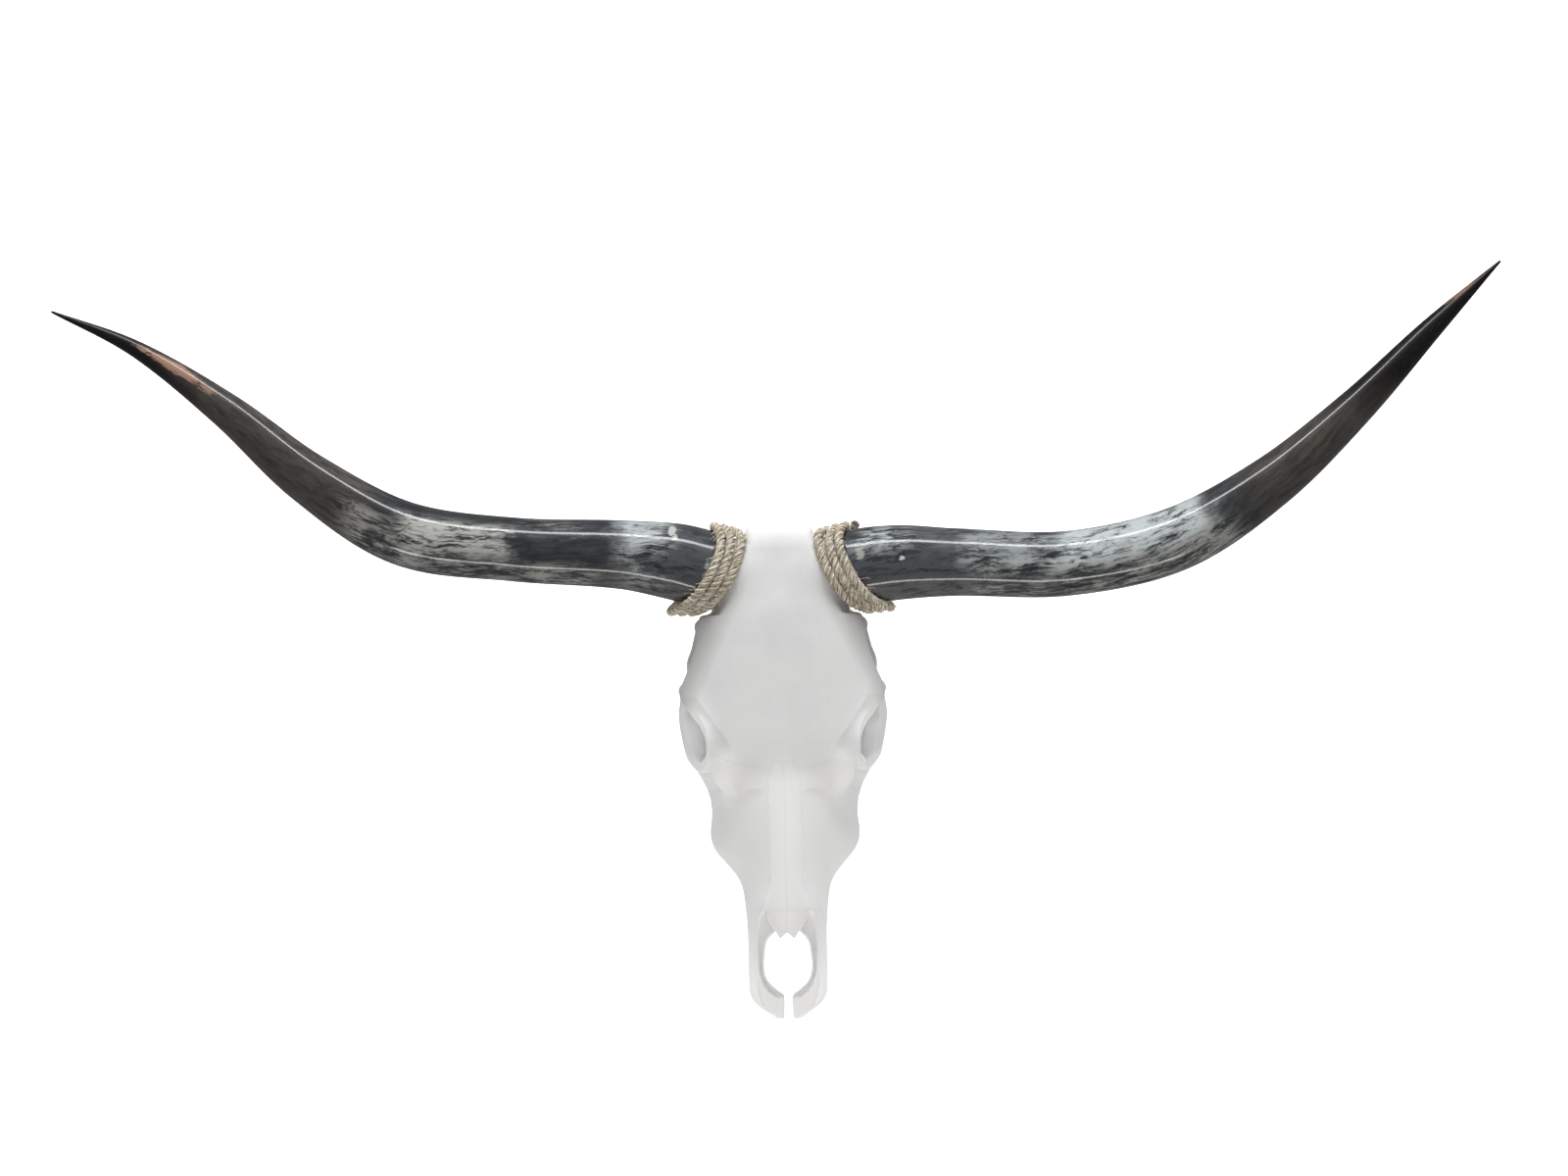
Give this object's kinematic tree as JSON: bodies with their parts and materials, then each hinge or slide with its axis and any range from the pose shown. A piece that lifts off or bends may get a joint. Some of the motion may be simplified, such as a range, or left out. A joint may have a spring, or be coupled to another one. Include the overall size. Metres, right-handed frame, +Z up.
{
  "type": "longhorn steer skull",
  "caption": "Life-size longhorn steer skull with long upswept horns, its horn bases wrapped in rope, lying face up on its cheek teeth.",
  "frame": {"origin": "middle of the bounding box on the surface the skull rests on", "axes": "+X across the skull to the animal's own left, from horn tip to horn tip; +Y from nose to poll; +Z up, out of the forehead"},
  "size_m": [1.5496, 0.7964, 0.2985],
  "materials": {
    "bone": "dry cleaned bone, matte, smooth",
    "horn": "polished horn sheath, slate grey with pale streaks and near-black tips",
    "rope": "twisted natural jute or sisal rope, fibrous"
  },
  "bodies": {
    "root": {"cranium": "bone", "face": "bone", "zygomatic_left": "bone", "zygomatic_right": "bone", "nasal_left": "bone", "nasal_right": "bone", "premaxilla_left": "bone", "premaxilla_right": "bone", "horn_left": "horn", "horn_right": "horn", "rope_left": "rope", "rope_right": "rope"}
  },
  "joints": []
}
